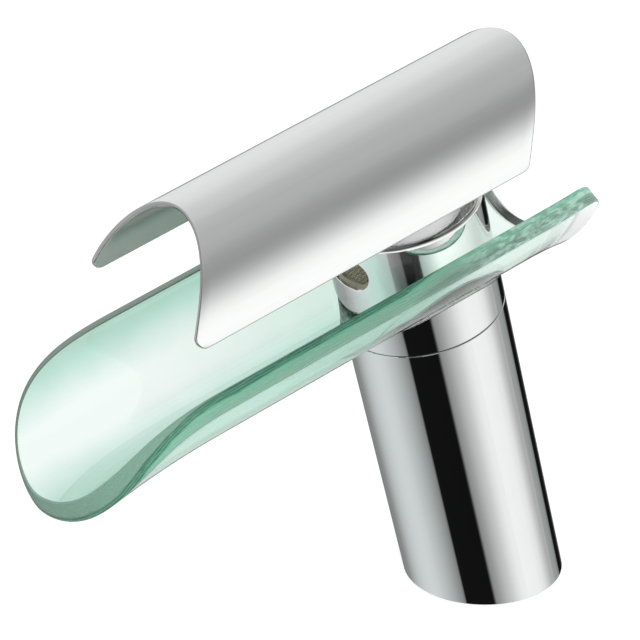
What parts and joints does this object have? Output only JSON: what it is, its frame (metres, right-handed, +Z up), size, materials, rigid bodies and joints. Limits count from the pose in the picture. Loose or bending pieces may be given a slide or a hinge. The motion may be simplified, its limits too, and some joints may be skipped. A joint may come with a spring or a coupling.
{
  "type": "waterfall basin mixer tap",
  "caption": "Single-lever basin tap: leaning round chrome body, open bent-glass trough that pours the water, and a curved sheet handle above it that lifts and swivels.",
  "frame": {"origin": "centre of the hose recess in the base, on the deck plane", "axes": "+Z up from the deck, -Y towards the user and the pouring end of the trough, +X across; the body leans 14.75 degrees from +Z towards -Y"},
  "size_m": [0.0672, 0.1677, 0.1657],
  "materials": {
    "chrome_body": "mirror-polished chrome plate on brass",
    "chrome_hub": "mirror-polished chrome plate on a zinc casting",
    "handle_sheet": "soft-polished plated sheet",
    "green_glass": "clear float glass with a green tint and ground edges",
    "clear_seal": "translucent silicone",
    "black_rubber": "matt nitrile rubber",
    "brass": "turned brass",
    "wire_screen": "woven stainless wire",
    "white_plastic": "moulded acetal",
    "grey_plastic": "moulded glass-filled plastic",
    "ceramic": null,
    "steel": "turned stainless steel"
  },
  "bodies": {
    "root": {"main_body": "chrome_body", "base_seal_ring": "black_rubber", "valve_neck": "brass", "neck_o_rings": "black_rubber", "saddle_collar": "chrome_body", "lower_glass_gasket": "clear_seal", "glass_trough": "green_glass", "upper_glass_gasket": "clear_seal", "spout_housing": "chrome_body", "boss_o_ring": "black_rubber", "outlet_screen": "wire_screen", "screen_frame": "wire_screen", "cartridge_base": "white_plastic", "port_seals": "black_rubber", "fixed_ceramic_disc": "ceramic", "cartridge_housing": "white_plastic", "cartridge_nut": "brass"},
    "swivel_carrier": {"lever_carrier": "grey_plastic", "pivot_pin": "steel"},
    "mixing_disc": {"moving_ceramic_disc": "ceramic", "disc_coupler": "white_plastic"},
    "lever": {"lever_stem": "steel", "lever_hub": "chrome_hub", "hub_set_screw": "steel", "screw_plug": "grey_plastic", "handle_shell": "handle_sheet"}
  },
  "joints": [
    {"name": "handle_swivel", "type": "hinge", "parent": "root", "child": "swivel_carrier", "pos_m": [0, -0.03017, 0.1146], "axis": [0, -0.2546, 0.967], "range_deg": [-45, 45]},
    {"name": "handle_lift", "type": "hinge", "parent": "swivel_carrier", "child": "lever", "pos_m": [0, -0.03017, 0.1146], "axis": [-1, 0, 0], "range_deg": [0, 18]},
    {"name": "disc_slide", "type": "slide", "parent": "swivel_carrier", "child": "mixing_disc", "axis": [0, -0.967, -0.2546], "range_m": [0, 0.0027]}
  ],
  "couplings": [
    {"joint": "disc_slide", "follows": "handle_lift", "m_per_rad": 0.0083}
  ]
}
